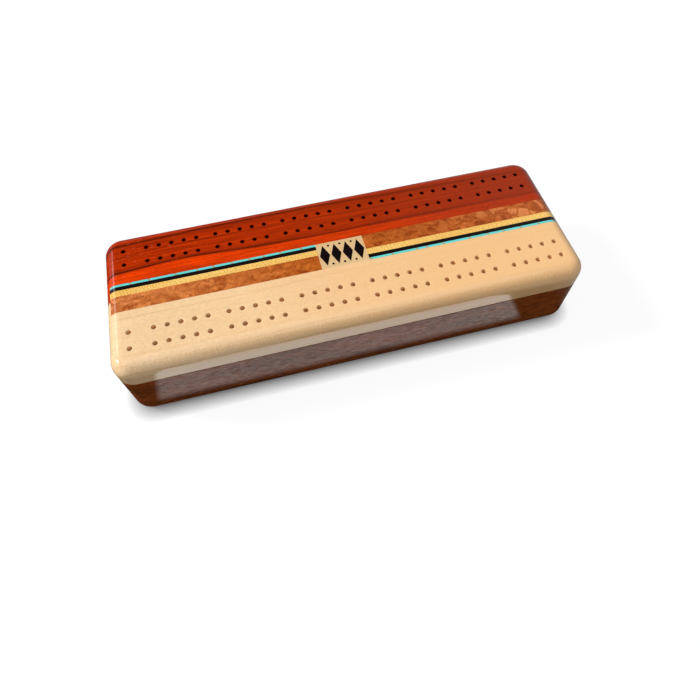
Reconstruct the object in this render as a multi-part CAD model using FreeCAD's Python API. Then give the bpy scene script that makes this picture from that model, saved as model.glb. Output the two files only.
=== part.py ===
import FreeCAD, Part
import math
import os

# A cribbage box: a two-wood playing board with an inlaid centre band, glued on a walnut base
# whose drawer slides out of one end.
# Frame: the origin is the middle of the underside. +X runs along the length towards the drawer
# end, +Y towards the padauk side, +Z up. All sizes are in millimetres.

# Whole box
BOX_LENGTH = 311.0
BOX_WIDTH = 109.0
BOX_HEIGHT = 57.5
CORNER_RADIUS = 12.4        # the four upright corners
TOP_ROUND = 9.3             # round-over along the rim of the playing surface
BOTTOM_ROUND = 9.5          # round-over along the rim of the underside
BOARD_THICKNESS = 17.0      # playing board, above the base
SEAM_EASE = 0.4             # eased edges of the board and the base where they meet

# Peg tracks: four rows, each a start hole and then groups of holes
TRACK_END_MARGIN = 14.1     # box end to the first and to the last hole
TRACK_SIDE_MARGIN = 15.7    # box side to the outer row
TRACK_ROW_SPACING = 11.8    # between the two rows of a player
START_GAP = 15.3            # start hole to the first group
GROUP_GAP = 13.1            # last hole of a group to the first of the next
GROUP_COUNT = 6
GROUP_HOLES = 5
PEG_HOLE_DIAMETER = 3.2
PEG_HOLE_DEPTH = 10.0       # straight wall, above the drill point
DRILL_POINT_ANGLE = 118.0

# Inlaid centre band
INLAY_DEPTH = 2.0
TURQUOISE_WIDTH = 1.7
BLACK_WIDTH = 3.05
SATINWOOD_WIDTH = 4.8
BURL_WIDTH = 12.2
INLAY_SHIFT = 0.6           # centre of the band, towards the padauk side
TILE_LENGTH = 32.4
TILE_SHIFT = 0.7            # centre of the tile, towards the drawer front
MOTIF_DEPTH = 1.0
LOZENGE_COUNT = 4
LOZENGE_LENGTH = 17.6
LOZENGE_GAP = 0.9           # between lozenges, and from the last ones to the tile's ends
DOT_DIAMETER = 1.7
DOT_INSET = 3.0             # dot centre to the tile's long edge

# Base
RAIL_THICKNESS = 13.0
END_BLOCK_THICKNESS = 13.0
FLOOR_THICKNESS = 6.0
FLOOR_TONGUE_DEPTH = 3.5    # into the rails
FLOOR_TONGUE_THICKNESS = 2.6
FLOOR_TONGUE_DROP = 0.4     # top of the tongue below the upper face of the floor
FLOOR_TONGUE_MARGIN = 3.6   # the tongues stop this far before the round corners, out of sight

# Drawer
DRAWER_SIDE_CLEARANCE = 0.4
DRAWER_TOP_CLEARANCE = 0.5
DRAWER_FLOOR_CLEARANCE = 0.3
DRAWER_REAR_CLEARANCE = 0.5
DRAWER_FRONT_THICKNESS = 13.0
DRAWER_SIDE_THICKNESS = 5.5
DRAWER_BACK_THICKNESS = 5.5
DRAWER_RABBET_DEPTH = 7.0   # the sides run this far into the front
DRAWER_BOTTOM_THICKNESS = 3.2
DRAWER_BOTTOM_LIFT = 2.5    # drawer bottom above the lower edge of the sides
DRAWER_GROOVE_DEPTH = 2.5
DIVIDER_THICKNESS = 5.0
DIVIDER_DROP = 7.0          # top of the dividers below the upper edge of the drawer
DIVIDER_DADO_DEPTH = 1.5
NOTCH_WIDTH = 28.0          # half-moon finger notch in the upper edge of the drawer front
NOTCH_DEPTH = 11.0
NOTCH_EASE = 1.2            # its two rims are rounded over
FRONT_EASE = 0.5            # eased edges round the drawer front's face
EDGE_EASE = 0.8             # sanded upper edges of the sides, the back, the dividers and the rack
FELT_THICKNESS = 1.0
FELT_MARGIN = 0.5

# Magnets that hold the drawer shut
MAGNET_DIAMETER = 8.0
MAGNET_THICKNESS = 2.5
MAGNET_POCKET_CLEARANCE = 0.05
MAGNET_INSET = 11.6         # magnet centre from the inside of the drawer's sides

# Pegs and their rack
PEG_LENGTH = 50.0
PEG_DIAMETER = 4.2
PEG_TIP_DIAMETER = 2.7
PEG_SHANK_DIAMETER = 3.0
PEG_SHANK_LENGTH = 13.0
PEG_NECK_DIAMETER = 3.0
PEG_NECK_LENGTH = 1.6
PEG_NECK_FROM_HEAD = 7.0
PEG_DOME_HEIGHT = 1.4
PEG_CROWN_FLAT = 0.8        # flat left in the middle of the domed head
PEG_CHAMFER = 0.6
PEGS_PER_SET = 3
PEG_FINISHES = ("brass", "steel", "copper", "black")
PEG_CLEARANCE = 0.15        # peg to groove, all round
RACK_END = 8.0              # wood beyond each end of a peg
RACK_HEIGHT = 11.0
RACK_CLEARANCE = 0.3        # rack to the drawer's walls
RACK_CHANNEL_WIDTH = 16.0   # finger channel across the pegs
RACK_CHANNEL_DEPTH = 3.2    # below the top of the rack

# Edges closer to a plane than this lie in it
TOUCH = 1e-6

# Worked out from the sizes above
HALF_LENGTH = BOX_LENGTH / 2
HALF_WIDTH = BOX_WIDTH / 2
BASE_HEIGHT = BOX_HEIGHT - BOARD_THICKNESS
TRACK_LENGTH = BOX_LENGTH - 2 * TRACK_END_MARGIN
GROUP_PITCHES = GROUP_COUNT * (GROUP_HOLES - 1)
HOLE_PITCH = (TRACK_LENGTH - START_GAP - (GROUP_COUNT - 1) * GROUP_GAP) / GROUP_PITCHES
OUTER_ROW_Y = HALF_WIDTH - TRACK_SIDE_MARGIN
INNER_ROW_Y = OUTER_ROW_Y - TRACK_ROW_SPACING
BAND_WIDTH = TURQUOISE_WIDTH + BLACK_WIDTH + SATINWOOD_WIDTH + BURL_WIDTH
BAND_BACK_Y = INLAY_SHIFT + BAND_WIDTH / 2
BAND_FRONT_Y = INLAY_SHIFT - BAND_WIDTH / 2
TILE_LEFT_X = TILE_SHIFT - TILE_LENGTH / 2
TILE_RIGHT_X = TILE_SHIFT + TILE_LENGTH / 2
INLAY_Z = BOX_HEIGHT - INLAY_DEPTH
BAY_HALF_WIDTH = HALF_WIDTH - RAIL_THICKNESS
BAY_REAR_X = -HALF_LENGTH + END_BLOCK_THICKNESS
DRAWER_HALF_WIDTH = BAY_HALF_WIDTH - DRAWER_SIDE_CLEARANCE
DRAWER_REAR_X = BAY_REAR_X + DRAWER_REAR_CLEARANCE
DRAWER_LOW_Z = FLOOR_THICKNESS + DRAWER_FLOOR_CLEARANCE
DRAWER_HIGH_Z = BASE_HEIGHT - DRAWER_TOP_CLEARANCE
DRAWER_INNER_HALF_WIDTH = DRAWER_HALF_WIDTH - DRAWER_SIDE_THICKNESS
FRONT_INNER_X = HALF_LENGTH - DRAWER_FRONT_THICKNESS
BACK_INNER_X = DRAWER_REAR_X + DRAWER_BACK_THICKNESS
BOTTOM_LOW_Z = DRAWER_LOW_Z + DRAWER_BOTTOM_LIFT
BOTTOM_HIGH_Z = BOTTOM_LOW_Z + DRAWER_BOTTOM_THICKNESS
RACK_LENGTH = PEG_LENGTH + 2 * RACK_END
FRONT_DIVIDER_X = FRONT_INNER_X - RACK_LENGTH - 2 * RACK_CLEARANCE - DIVIDER_THICKNESS
CARD_BAY_LENGTH = (FRONT_DIVIDER_X - BACK_INNER_X - DIVIDER_THICKNESS) / 2
REAR_DIVIDER_X = BACK_INNER_X + CARD_BAY_LENGTH
MAGNET_OFFSET = DRAWER_INNER_HALF_WIDTH - MAGNET_INSET
MAGNET_Z = (BOTTOM_HIGH_Z + DRAWER_HIGH_Z) / 2
RACK_FRONT_X = FRONT_INNER_X - RACK_CLEARANCE
RACK_REAR_X = RACK_FRONT_X - RACK_LENGTH
RACK_HALF_WIDTH = DRAWER_INNER_HALF_WIDTH - RACK_CLEARANCE
RACK_HIGH_Z = BOTTOM_HIGH_Z + RACK_HEIGHT
PEG_COUNT = PEGS_PER_SET * len(PEG_FINISHES)
PEG_PITCH = 2 * RACK_HALF_WIDTH / PEG_COUNT
PEG_HEAD_X = RACK_FRONT_X - RACK_END


def block(x_low, x_high, y_low, y_high, z_low, z_high):
    """A rectangular block between two corners."""
    corner = FreeCAD.Vector(x_low, y_low, z_low)
    return Part.makeBox(x_high - x_low, y_high - y_low, z_high - z_low, corner)


def edges_at_height(shape, height):
    """The edges of a shape that lie flat at one height."""
    found = []
    for edge in shape.Edges:
        bounds = edge.BoundBox
        if abs(bounds.ZMin - height) < TOUCH and abs(bounds.ZMax - height) < TOUCH:
            found.append(edge)
    return found


def upright_edges(shape):
    """The edges of a block that run straight up."""
    return [edge for edge in shape.Edges if edge.BoundBox.ZLength > edge.Length - TOUCH]


def eased(body):
    """A block with its four upper edges sanded round."""
    return body.makeFillet(EDGE_EASE, edges_at_height(body, body.BoundBox.ZMax))


def rounded_box():
    """The outside of the whole box, which every outer piece is cut to."""
    shape = block(-HALF_LENGTH, HALF_LENGTH, -HALF_WIDTH, HALF_WIDTH, 0, BOX_HEIGHT)
    shape = shape.makeFillet(CORNER_RADIUS, upright_edges(shape))
    shape = shape.makeFillet(TOP_ROUND, edges_at_height(shape, BOX_HEIGHT))
    return shape.makeFillet(BOTTOM_ROUND, edges_at_height(shape, 0))


def board_outside(outside):
    """The outside of the playing board, eased along its lower edge."""
    slab = block(-HALF_LENGTH, HALF_LENGTH, -HALF_WIDTH, HALF_WIDTH, BASE_HEIGHT, BOX_HEIGHT)
    shape = outside.common(slab)
    return shape.makeFillet(SEAM_EASE, edges_at_height(shape, BASE_HEIGHT))


def base_outside(outside):
    """The outside of the base, eased along its upper edge."""
    slab = block(-HALF_LENGTH, HALF_LENGTH, -HALF_WIDTH, HALF_WIDTH, 0, BASE_HEIGHT)
    shape = outside.common(slab)
    return shape.makeFillet(SEAM_EASE, edges_at_height(shape, BASE_HEIGHT))


def track_positions():
    """The places along X of the holes of one row, from the start hole on."""
    start = -HALF_LENGTH + TRACK_END_MARGIN
    places = [start]
    first = start + START_GAP
    for _ in range(GROUP_COUNT):
        places += [first + index * HOLE_PITCH for index in range(GROUP_HOLES)]
        first = places[-1] + GROUP_GAP
    return places


def peg_hole(x, y):
    """A drilled hole with a drill point, down from the playing surface."""
    radius = PEG_HOLE_DIAMETER / 2
    point_depth = radius / math.tan(math.radians(DRILL_POINT_ANGLE / 2))
    floor_z = BOX_HEIGHT - PEG_HOLE_DEPTH
    wall = Part.makeCylinder(radius, PEG_HOLE_DEPTH, FreeCAD.Vector(x, y, floor_z))
    point_low = FreeCAD.Vector(x, y, floor_z - point_depth)
    point = Part.makeCone(0, radius, point_depth, point_low)
    return wall.fuse(point)


def board_half(outside, side):
    """One half of the playing board; side is +1 for the padauk half and -1 for the maple half."""
    y_low, y_high = sorted((0, side * HALF_WIDTH))
    half = outside.common(block(-HALF_LENGTH, HALF_LENGTH, y_low, y_high, BASE_HEIGHT, BOX_HEIGHT))
    channel = block(-HALF_LENGTH, HALF_LENGTH, BAND_FRONT_Y, BAND_BACK_Y, INLAY_Z, BOX_HEIGHT)
    holes = []
    for row_y in (side * INNER_ROW_Y, side * OUTER_ROW_Y):
        holes += [peg_hole(x, row_y) for x in track_positions()]
    return half.cut([channel] + holes)


def inlay_strips(outside):
    """The four strips of each half of the band; the order is reversed past the centre tile."""
    order = (
        ("turquoise", TURQUOISE_WIDTH),
        ("black", BLACK_WIDTH),
        ("satinwood", SATINWOOD_WIDTH),
        ("burl", BURL_WIDTH),
    )
    halves = (
        ("left", -HALF_LENGTH, TILE_LEFT_X, order),
        ("right", TILE_RIGHT_X, HALF_LENGTH, reversed(order)),
    )
    strips = {}
    for side, x_low, x_high, strip_order in halves:
        y_high = BAND_BACK_Y
        for wood, width in strip_order:
            strip = block(x_low, x_high, y_high - width, y_high, INLAY_Z, BOX_HEIGHT)
            strips["inlay_" + wood + "_" + side] = outside.common(strip)
            y_high -= width
    return strips


def prism(points, low_z, height):
    """An upright prism on a closed outline of (x, y) points."""
    corners = [FreeCAD.Vector(x, y, low_z) for x, y in points]
    outline = Part.makePolygon(corners + corners[:1])
    return Part.Face(outline).extrude(FreeCAD.Vector(0, 0, height))


def tile_lozenges():
    """A row of tall lozenges, each a prism as deep as the motif."""
    pitch = (TILE_LENGTH - LOZENGE_GAP) / LOZENGE_COUNT
    half_width = (pitch - LOZENGE_GAP) / 2
    half_length = LOZENGE_LENGTH / 2
    lozenges = []
    for index in range(LOZENGE_COUNT):
        x = TILE_SHIFT + (index - (LOZENGE_COUNT - 1) / 2) * pitch
        y = INLAY_SHIFT
        outline = [(x - half_width, y), (x, y - half_length), (x + half_width, y), (x, y + half_length)]
        lozenges.append(prism(outline, BOX_HEIGHT - MOTIF_DEPTH, MOTIF_DEPTH))
    return lozenges


def tile_dots():
    """Round dots between the points of the lozenges, along both edges of the tile."""
    pitch = (TILE_LENGTH - LOZENGE_GAP) / LOZENGE_COUNT
    offset = BAND_WIDTH / 2 - DOT_INSET
    dots = []
    for index in range(1, LOZENGE_COUNT):
        x = TILE_SHIFT + (index - LOZENGE_COUNT / 2) * pitch
        for y in (INLAY_SHIFT - offset, INLAY_SHIFT + offset):
            low = FreeCAD.Vector(x, y, BOX_HEIGHT - MOTIF_DEPTH)
            dots.append(Part.makeCylinder(DOT_DIAMETER / 2, MOTIF_DEPTH, low))
    return dots


def centre_tile(motif):
    """The pale tile in the middle of the band, with a pocket for each piece of the motif."""
    tile = block(TILE_LEFT_X, TILE_RIGHT_X, BAND_FRONT_Y, BAND_BACK_Y, INLAY_Z, BOX_HEIGHT)
    return tile.cut(motif)


def base_floor(outside):
    """The floor between the rails, with a tongue along each side and rounded at both ends."""
    high = FLOOR_THICKNESS - FLOOR_TONGUE_DROP
    low = high - FLOOR_TONGUE_THICKNESS
    reach = BAY_HALF_WIDTH + FLOOR_TONGUE_DEPTH
    end = HALF_LENGTH - CORNER_RADIUS - FLOOR_TONGUE_MARGIN
    panel = block(-HALF_LENGTH, HALF_LENGTH, -BAY_HALF_WIDTH, BAY_HALF_WIDTH, 0, FLOOR_THICKNESS)
    tongues = block(-end, end, -reach, reach, low, high)
    return outside.common(panel.fuse(tongues).removeSplitter())


def rail(outside, side, floor):
    """A long rail of the base with its two rounded corners; side is +1 at the back."""
    y_low, y_high = sorted((side * BAY_HALF_WIDTH, side * HALF_WIDTH))
    return outside.common(block(-HALF_LENGTH, HALF_LENGTH, y_low, y_high, 0, BASE_HEIGHT)).cut(floor)


def magnet(x_low, y, clearance=0.0):
    """A disc magnet lying along X, or its pocket when a clearance is given."""
    radius = MAGNET_DIAMETER / 2 + clearance
    base = FreeCAD.Vector(x_low, y, MAGNET_Z)
    return Part.makeCylinder(radius, MAGNET_THICKNESS, base, FreeCAD.Vector(1, 0, 0))


def magnets(x_low, clearance=0.0):
    """The pair of magnets, or their pockets, with their rear faces at one place along X."""
    return [magnet(x_low, side * MAGNET_OFFSET, clearance) for side in (-1, 1)]


def end_block(outside):
    """The closed end of the base, between the rails, with the magnet pockets."""
    body = block(
        -HALF_LENGTH, BAY_REAR_X, -BAY_HALF_WIDTH, BAY_HALF_WIDTH, FLOOR_THICKNESS, BASE_HEIGHT
    )
    pockets = magnets(BAY_REAR_X - MAGNET_THICKNESS, MAGNET_POCKET_CLEARANCE)
    return outside.common(body).cut(pockets)


def drawer_bottom():
    """The drawer's bottom, held in grooves of the sides and the front, under the back."""
    reach = DRAWER_INNER_HALF_WIDTH + DRAWER_GROOVE_DEPTH
    front_x = FRONT_INNER_X + DRAWER_GROOVE_DEPTH
    return block(DRAWER_REAR_X, front_x, -reach, reach, BOTTOM_LOW_Z, BOTTOM_HIGH_Z)


def divider(x_low):
    """A divider across the drawer, housed in a dado of each side."""
    reach = DRAWER_INNER_HALF_WIDTH + DIVIDER_DADO_DEPTH
    high_z = DRAWER_HIGH_Z - DIVIDER_DROP
    return eased(block(x_low, x_low + DIVIDER_THICKNESS, -reach, reach, BOTTOM_HIGH_Z, high_z))


def drawer_side_blank(side):
    """A drawer side before its edges are eased and its grooves are cut; side is +1 at the back."""
    y_low, y_high = sorted((side * DRAWER_INNER_HALF_WIDTH, side * DRAWER_HALF_WIDTH))
    front_x = FRONT_INNER_X + DRAWER_RABBET_DEPTH
    return block(DRAWER_REAR_X, front_x, y_low, y_high, DRAWER_LOW_Z, DRAWER_HIGH_Z)


def finger_notch():
    """The half-moon that a finger hooks into, through the drawer front, flared at both faces."""
    radius = (NOTCH_WIDTH ** 2 / 4 + NOTCH_DEPTH ** 2) / (2 * NOTCH_DEPTH)
    wide = radius + NOTCH_EASE
    inner_x = FRONT_INNER_X + NOTCH_EASE
    outer_x = HALF_LENGTH - NOTCH_EASE
    bend = NOTCH_EASE * (1 - math.sin(math.pi / 4))
    centre_z = DRAWER_HIGH_Z - NOTCH_DEPTH + radius

    def at(x, distance):
        return FreeCAD.Vector(x, 0, centre_z - distance)

    edges = [
        Part.makeLine(at(FRONT_INNER_X, 0), at(FRONT_INNER_X, wide)),
        Part.Arc(
            at(FRONT_INNER_X, wide), at(FRONT_INNER_X + bend, radius + bend), at(inner_x, radius)
        ).toShape(),
        Part.makeLine(at(inner_x, radius), at(outer_x, radius)),
        Part.Arc(
            at(outer_x, radius), at(HALF_LENGTH - bend, radius + bend), at(HALF_LENGTH, wide)
        ).toShape(),
        Part.makeLine(at(HALF_LENGTH, wide), at(HALF_LENGTH, 0)),
        Part.makeLine(at(HALF_LENGTH, 0), at(FRONT_INNER_X, 0)),
    ]
    section = Part.Face(Part.Wire(edges))
    return section.revolve(at(FRONT_INNER_X, 0), FreeCAD.Vector(1, 0, 0), 360)


def drawer_front(outside, fitted):
    """The drawer front, flush with the end of the box, cut to its outside and eased round its face."""
    body = block(
        FRONT_INNER_X, HALF_LENGTH, -DRAWER_HALF_WIDTH, DRAWER_HALF_WIDTH, DRAWER_LOW_Z, DRAWER_HIGH_Z
    )
    front = outside.common(body)
    outer_edges = [edge for edge in front.Edges if edge.BoundBox.XMin > FRONT_INNER_X + FRONT_EASE]
    rim = [edge for edge in outer_edges if edge.BoundBox.YLength < TOUCH]
    rim += [edge for edge in outer_edges if abs(edge.BoundBox.ZMin - DRAWER_HIGH_Z) < TOUCH]
    front = front.makeFillet(FRONT_EASE, rim)
    return front.cut([finger_notch()] + fitted)


def drawer_back():
    """The drawer back, standing on the bottom between the sides, with the magnet pockets."""
    reach = DRAWER_INNER_HALF_WIDTH
    body = block(DRAWER_REAR_X, BACK_INNER_X, -reach, reach, BOTTOM_HIGH_Z, DRAWER_HIGH_Z)
    return eased(body).cut(magnets(DRAWER_REAR_X, MAGNET_POCKET_CLEARANCE))


def card_felt(x_low, x_high):
    """The felt on the drawer bottom of one card bay."""
    reach = DRAWER_INNER_HALF_WIDTH - FELT_MARGIN
    high_z = BOTTOM_HIGH_Z + FELT_THICKNESS
    return block(x_low + FELT_MARGIN, x_high - FELT_MARGIN, -reach, reach, BOTTOM_HIGH_Z, high_z)


def peg_row_y(index):
    """The place across the drawer of one peg of the rack."""
    return -RACK_HALF_WIDTH + (index + 0.5) * PEG_PITCH


def peg_rack():
    """The block with a half-round groove for each peg and a finger channel across them."""
    reach = RACK_HALF_WIDTH
    rack = eased(block(RACK_REAR_X, RACK_FRONT_X, -reach, reach, BOTTOM_HIGH_Z, RACK_HIGH_Z))
    radius = PEG_DIAMETER / 2 + PEG_CLEARANCE
    length = PEG_LENGTH + 2 * PEG_CLEARANCE
    along = FreeCAD.Vector(1, 0, 0)
    cuts = []
    for index in range(PEG_COUNT):
        start = FreeCAD.Vector(PEG_HEAD_X + PEG_CLEARANCE - length, peg_row_y(index), RACK_HIGH_Z)
        cuts.append(Part.makeCylinder(radius, length, start, along))
    middle_x = (RACK_REAR_X + RACK_FRONT_X) / 2
    half = RACK_CHANNEL_WIDTH / 2
    low_z = RACK_HIGH_Z - RACK_CHANNEL_DEPTH
    cuts.append(block(middle_x - half, middle_x + half, -reach, reach, low_z, RACK_HIGH_Z))
    return rack.cut(cuts)


def peg(y):
    """A turned metal peg lying along X: point and shank, chamfered body, neck and domed head."""
    body = PEG_DIAMETER / 2
    neck = PEG_NECK_DIAMETER / 2
    dome_x = PEG_HEAD_X - PEG_DOME_HEIGHT
    neck_x = PEG_HEAD_X - PEG_NECK_FROM_HEAD
    tip_x = PEG_HEAD_X - PEG_LENGTH
    shank_x = tip_x + PEG_SHANK_LENGTH
    profile = [
        (tip_x, 0),
        (tip_x, PEG_TIP_DIAMETER / 2 - PEG_CHAMFER),
        (tip_x + PEG_CHAMFER, PEG_TIP_DIAMETER / 2),
        (shank_x, PEG_SHANK_DIAMETER / 2),
        (shank_x + PEG_CHAMFER, body),
        (neck_x - PEG_NECK_LENGTH - PEG_CHAMFER, body),
        (neck_x - PEG_NECK_LENGTH, neck),
        (neck_x, neck),
        (neck_x + PEG_CHAMFER, body),
        (dome_x, body),
    ]
    crown = PEG_CROWN_FLAT / 2
    centre_x = dome_x - (body ** 2 - crown ** 2 - PEG_DOME_HEIGHT ** 2) / (2 * PEG_DOME_HEIGHT)
    dome_radius = math.hypot(dome_x - centre_x, body)
    angles = (math.atan2(body, dome_x - centre_x), math.atan2(crown, PEG_HEAD_X - centre_x))
    middle = sum(angles) / 2

    def at(x, radius):
        return FreeCAD.Vector(x, y + radius, RACK_HIGH_Z)

    points = [at(x, radius) for x, radius in profile]
    dome_middle = at(centre_x + dome_radius * math.cos(middle), dome_radius * math.sin(middle))
    dome_end = at(PEG_HEAD_X, crown)
    edges = Part.makePolygon(points).Edges
    edges.append(Part.Arc(points[-1], dome_middle, dome_end).toShape())
    edges += Part.makePolygon([dome_end, at(PEG_HEAD_X, 0), points[0]]).Edges
    section = Part.Face(Part.Wire(edges))
    return section.revolve(at(PEG_HEAD_X, 0), FreeCAD.Vector(1, 0, 0), 360)


def write_node(name, *solids):
    """Write one node, as one solid or as a group of separate solids, to its own file."""
    shape = solids[0] if len(solids) == 1 else Part.makeCompound(solids)
    if not shape.isValid() or len(shape.Solids) != len(solids):
        raise ValueError(name + " isn't made of valid single solids")
    shape.exportStep("parts/" + name + ".step")
    bounds = shape.BoundBox
    print("%-24s %9.0f mm3  %6.1f x %5.1f x %4.1f" % (
        name, shape.Volume, bounds.XLength, bounds.YLength, bounds.ZLength
    ))


def write_board(outside):
    """The playing board: two halves, the band of strips and the tile with its motif."""
    write_node("board_padauk", board_half(outside, 1))
    write_node("board_maple", board_half(outside, -1))
    for name, strip in inlay_strips(outside).items():
        write_node(name, strip)
    lozenges = tile_lozenges()
    dots = tile_dots()
    write_node("tile", centre_tile(lozenges + dots))
    write_node("tile_lozenges", *lozenges)
    write_node("tile_dots", *dots)


def write_base(outside):
    """The walnut base: floor, rails, closed end and its magnets."""
    floor = base_floor(outside)
    write_node("base_floor", floor)
    write_node("rail_front", rail(outside, -1, floor))
    write_node("rail_back", rail(outside, 1, floor))
    write_node("end_block", end_block(outside))
    write_node("base_magnets", *magnets(BAY_REAR_X - MAGNET_THICKNESS))


def write_drawer(outside):
    """The drawer with its dividers, linings, magnets, peg rack and pegs."""
    bottom = drawer_bottom()
    divider_front = divider(FRONT_DIVIDER_X)
    divider_rear = divider(REAR_DIVIDER_X)
    fitted = [bottom, divider_front, divider_rear]
    blank_front = drawer_side_blank(-1)
    blank_back = drawer_side_blank(1)
    write_node("drawer_front", drawer_front(outside, [bottom, blank_front, blank_back]))
    write_node("drawer_side_front", eased(blank_front).cut(fitted))
    write_node("drawer_side_back", eased(blank_back).cut(fitted))
    write_node("drawer_back", drawer_back())
    write_node("drawer_bottom", bottom)
    write_node("divider_front", divider_front)
    write_node("divider_rear", divider_rear)
    write_node("drawer_magnets", *magnets(DRAWER_REAR_X))
    write_node("card_felt_front", card_felt(REAR_DIVIDER_X + DIVIDER_THICKNESS, FRONT_DIVIDER_X))
    write_node("card_felt_rear", card_felt(BACK_INNER_X, REAR_DIVIDER_X))
    write_node("peg_rack", peg_rack())
    for number, finish in enumerate(PEG_FINISHES):
        first = number * PEGS_PER_SET
        pegs = [peg(peg_row_y(first + index)) for index in range(PEGS_PER_SET)]
        write_node("pegs_" + finish, *pegs)


os.makedirs("parts", exist_ok=True)
BOX_OUTSIDE = rounded_box()
BASE_OUTSIDE = base_outside(BOX_OUTSIDE)
write_board(board_outside(BOX_OUTSIDE))
write_base(BASE_OUTSIDE)
write_drawer(BASE_OUTSIDE)
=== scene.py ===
"""A cribbage box with a card drawer: its finishes, felt linings, studio light and camera.

Places in names ending in _mm are millimetres and all others are metres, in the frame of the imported
model: the origin is the middle of the underside, +X runs along the box to the drawer end, +Y to the
padauk side and +Z up. Finishes draw their pattern in millimetres along and across the grain.
"""

import logging
import math
from dataclasses import dataclass, replace
from enum import Enum
from typing import Any

import bpy
from mathutils import Euler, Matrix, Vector, noise


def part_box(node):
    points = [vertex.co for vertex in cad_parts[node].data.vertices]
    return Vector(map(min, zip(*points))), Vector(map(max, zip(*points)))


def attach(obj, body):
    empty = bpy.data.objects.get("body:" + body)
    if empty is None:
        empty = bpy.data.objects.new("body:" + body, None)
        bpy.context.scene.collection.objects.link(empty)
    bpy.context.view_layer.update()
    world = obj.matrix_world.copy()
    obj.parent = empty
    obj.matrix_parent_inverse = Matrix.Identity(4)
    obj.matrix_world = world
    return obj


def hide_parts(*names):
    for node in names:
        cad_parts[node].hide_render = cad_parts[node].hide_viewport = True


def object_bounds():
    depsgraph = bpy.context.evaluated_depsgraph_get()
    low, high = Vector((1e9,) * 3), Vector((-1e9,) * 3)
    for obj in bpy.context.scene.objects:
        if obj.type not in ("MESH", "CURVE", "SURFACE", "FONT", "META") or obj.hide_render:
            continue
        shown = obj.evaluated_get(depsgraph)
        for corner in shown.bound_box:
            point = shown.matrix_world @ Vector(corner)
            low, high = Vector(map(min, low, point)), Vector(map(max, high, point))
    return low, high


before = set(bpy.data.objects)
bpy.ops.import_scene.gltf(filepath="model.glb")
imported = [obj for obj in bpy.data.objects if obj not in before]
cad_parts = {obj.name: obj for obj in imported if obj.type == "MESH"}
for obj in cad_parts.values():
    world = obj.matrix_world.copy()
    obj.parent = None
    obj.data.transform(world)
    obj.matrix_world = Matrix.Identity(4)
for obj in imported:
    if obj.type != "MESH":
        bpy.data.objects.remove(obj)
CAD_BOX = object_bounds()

LOG = logging.getLogger("cribbage_box")
MM = 0.001
TOP_MM = CAD_BOX[1][2] / MM
# Nearly all of a noise field lies in this range.
NOISE_RANGE = (0.3, 0.7)
# How far each seed moves the coordinates of patches, and those of dashes.
PATCH_SHIFT = Vector((17.3, 5.9, 11.7))
DASH_SHIFT = Vector((7.1, 13.3, 3.7))
# The late wood stops at this share of its ring, whose bends are this much longer than wide.
LATE_WOOD_END = 0.97
BEND_STRETCH = 7.0
# The patches in which a curl strays, in wave lengths, and how far it does, in radians.
CURL_STRAY_SIZE = (2.6, 1.6)
CURL_STRAY = 1.5 * math.pi
# The rays that feel for the edge of a peg hole.
LIP_SAMPLES = 8

Socket = bpy.types.NodeSocket
Inputs = dict[str | int, Any]
Stops = tuple[tuple[float, str], ...]


def linear(colour: str) -> tuple[float, float, float, float]:
    """Turn an sRGB hex colour into the linear colour that a shader takes.

    Args:
        colour: The colour as "#RRGGBB".

    Returns:
        Red, green, blue and an alpha of 1, each from 0 to 1.
    """
    shades = [int(colour[start:start + 2], 16) / 255 for start in (1, 3, 5)]
    red, green, blue = (
        shade / 12.92 if shade <= 0.04045 else ((shade + 0.055) / 1.055) ** 2.4 for shade in shades
    )
    return red, green, blue, 1.0


def add_node(
    tree: bpy.types.NodeTree,
    kind: str,
    inputs: Inputs | None = None,
    output: str | int = 0,
    stops: Stops = (),
    **settings: Any,
) -> Socket | None:
    """Add one shader node with its settings and links.

    Args:
        tree: The tree of a material or of the world.
        kind: The node's type, without the "ShaderNode" that every name starts with.
        inputs: By name or number, a socket to link, a hex colour or a plain value.
        output: The output that the caller goes on with.
        stops: The places and colours of a colour ramp, in order.
        **settings: The node's own attributes.

    Returns:
        The chosen output, or None for a node that has none.
    """
    node = tree.nodes.new("ShaderNode" + kind)
    for name, value in settings.items():
        setattr(node, name, value)
    for name, value in (inputs or {}).items():
        if isinstance(value, bpy.types.NodeSocket):
            tree.links.new(value, node.inputs[name])
        else:
            node.inputs[name].default_value = linear(value) if isinstance(value, str) else value
    for index, (place, colour) in enumerate(stops):
        elements = node.color_ramp.elements
        element = elements[index] if index < len(elements) else elements.new(place)
        element.position = place
        element.color = linear(colour)
    return node.outputs[output] if node.outputs else None


def ramp_stops(stops_mm: Stops) -> Stops:
    """Turn stops whose places are millimetres into those of a colour ramp, from 0 to 1."""
    first, last = stops_mm[0][0], stops_mm[-1][0]
    return tuple(((place - first) / (last - first), colour) for place, colour in stops_mm)


def add_object(name: str, data: bpy.types.ID) -> bpy.types.Object:
    """Add an object to the scene.

    Args:
        name: Its name.
        data: The mesh, lamp or camera that it holds.

    Returns:
        The object.
    """
    holder = bpy.data.objects.new(name, data)
    bpy.context.scene.collection.objects.link(holder)
    return holder


class Grain(Enum):
    """The way that a piece's grain runs, as the turn about Z that brings it onto X."""

    ALONG_BOX = 0.0
    ACROSS_BOX = -math.pi / 2


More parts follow.
